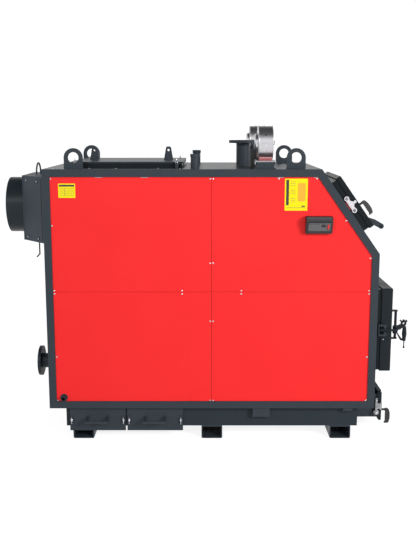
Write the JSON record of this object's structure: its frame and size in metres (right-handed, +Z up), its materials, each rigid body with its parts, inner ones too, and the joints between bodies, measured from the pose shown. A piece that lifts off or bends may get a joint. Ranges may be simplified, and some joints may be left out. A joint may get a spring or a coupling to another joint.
{
  "type": "industrial boiler",
  "caption": "Free-standing solid-fuel hot-water boiler with a sloping loading door, fire and ash doors, a rear flue collector, fans on top and lifting eyes.",
  "frame": {"origin": "on the floor, under the middle of the casing's length and depth", "axes": "+X towards the doors, +Y towards the doors' hinges, +Z up"},
  "size_m": [2.8185, 1.0891, 2.1485],
  "materials": {
    "dark_paint": "satin paint",
    "red_paint": "satin paint",
    "boiler_steel": "dark mill scale",
    "grate_iron": "rough",
    "refractory": "matt board",
    "cast_zinc": "bright plated",
    "grip_plastic": "satin",
    "fan_metal": "satin"
  },
  "bodies": {
    "boiler": {"side_frame_near": "dark_paint", "side_frame_far": "dark_paint", "top_cover": "dark_paint", "rear_cover": "dark_paint", "plinth": "dark_paint", "plinth_rails": "dark_paint", "ash_duct": "dark_paint", "ash_hood": "dark_paint", "skid_rear": "dark_paint", "skid_middle": "dark_paint", "skid_front": "dark_paint", "fire_door_frame": "dark_paint", "loading_door_frame": "dark_paint", "hinge_brackets": "dark_paint", "fire_keeper": "dark_paint", "flue_box": "dark_paint", "flue_end_plate": "dark_paint", "flue_pipe": "dark_paint", "flue_loop_handle": "dark_paint", "flue_rod": "dark_paint", "return_pipe": "dark_paint", "flow_pipe": "dark_paint", "safety_sockets": "dark_paint", "drain_stub": "dark_paint", "lifting_lugs": "dark_paint", "hatch_seat": "dark_paint", "hatch_lid": "dark_paint", "hatch_ears": "dark_paint", "fan_pedestals": "dark_paint", "cleanout_covers": "dark_paint", "cleanout_handles": "dark_paint", "side_panels_near": "red_paint", "side_panels_far": "red_paint", "front_panel": "red_paint", "slope_panel": "red_paint", "heat_exchanger": "boiler_steel", "side_jackets": "boiler_steel", "roof_jacket": "boiler_steel", "front_wall": "boiler_steel", "slope_wall": "boiler_steel", "grate": "grate_iron", "loading_keeper": "cast_zinc", "ash_keeper": "cast_zinc", "controller": "grip_plastic", "fan_plates": "fan_metal", "fan_housings": "fan_metal", "fan_motors": "fan_metal"},
    "fire_door": {"fire_door": "dark_paint", "fire_door_lining": "refractory", "fire_door_hinges": "dark_paint", "fire_door_pull_bar": "dark_paint"},
    "fire_latch": {"fire_latch_lever": "dark_paint"},
    "loading_door": {"loading_door": "dark_paint", "loading_door_lining": "refractory", "loading_door_hinges": "dark_paint", "loading_door_lug": "dark_paint"},
    "loading_latch": {"loading_latch_lever": "grip_plastic"},
    "ash_door": {"ash_door": "dark_paint", "ash_door_hinges": "dark_paint"},
    "ash_latch": {"ash_latch_lever": "grip_plastic"}
  },
  "joints": [
    {"name": "fire_door_hinge", "type": "hinge", "parent": "boiler", "child": "fire_door", "pos_m": [1.2265, 0.322, 0.7345], "axis": [0, 0, 1], "range_deg": [0, 110]},
    {"name": "fire_latch_turn", "type": "hinge", "parent": "fire_door", "child": "fire_latch", "pos_m": [1.296, -0.265, 0.738], "axis": [0, 0, 1], "range_deg": [0, 60]},
    {"name": "loading_door_hinge", "type": "hinge", "parent": "boiler", "child": "loading_door", "pos_m": [0.98028, 0.319, 1.63375], "axis": [-0.5774, 0, 0.8165], "range_deg": [0, 110]},
    {"name": "loading_latch_turn", "type": "hinge", "parent": "loading_door", "child": "loading_latch", "pos_m": [1.01535, -0.262, 1.61446], "axis": [0.8165, 0, 0.5774], "range_deg": [0, 90]},
    {"name": "ash_door_hinge", "type": "hinge", "parent": "boiler", "child": "ash_door", "pos_m": [1.198, 0.322, 0.175], "axis": [0, 0, 1], "range_deg": [0, 110]},
    {"name": "ash_latch_turn", "type": "hinge", "parent": "ash_door", "child": "ash_latch", "pos_m": [1.214, -0.265, 0.139], "axis": [1, 0, 0], "range_deg": [0, 90]}
  ]
}
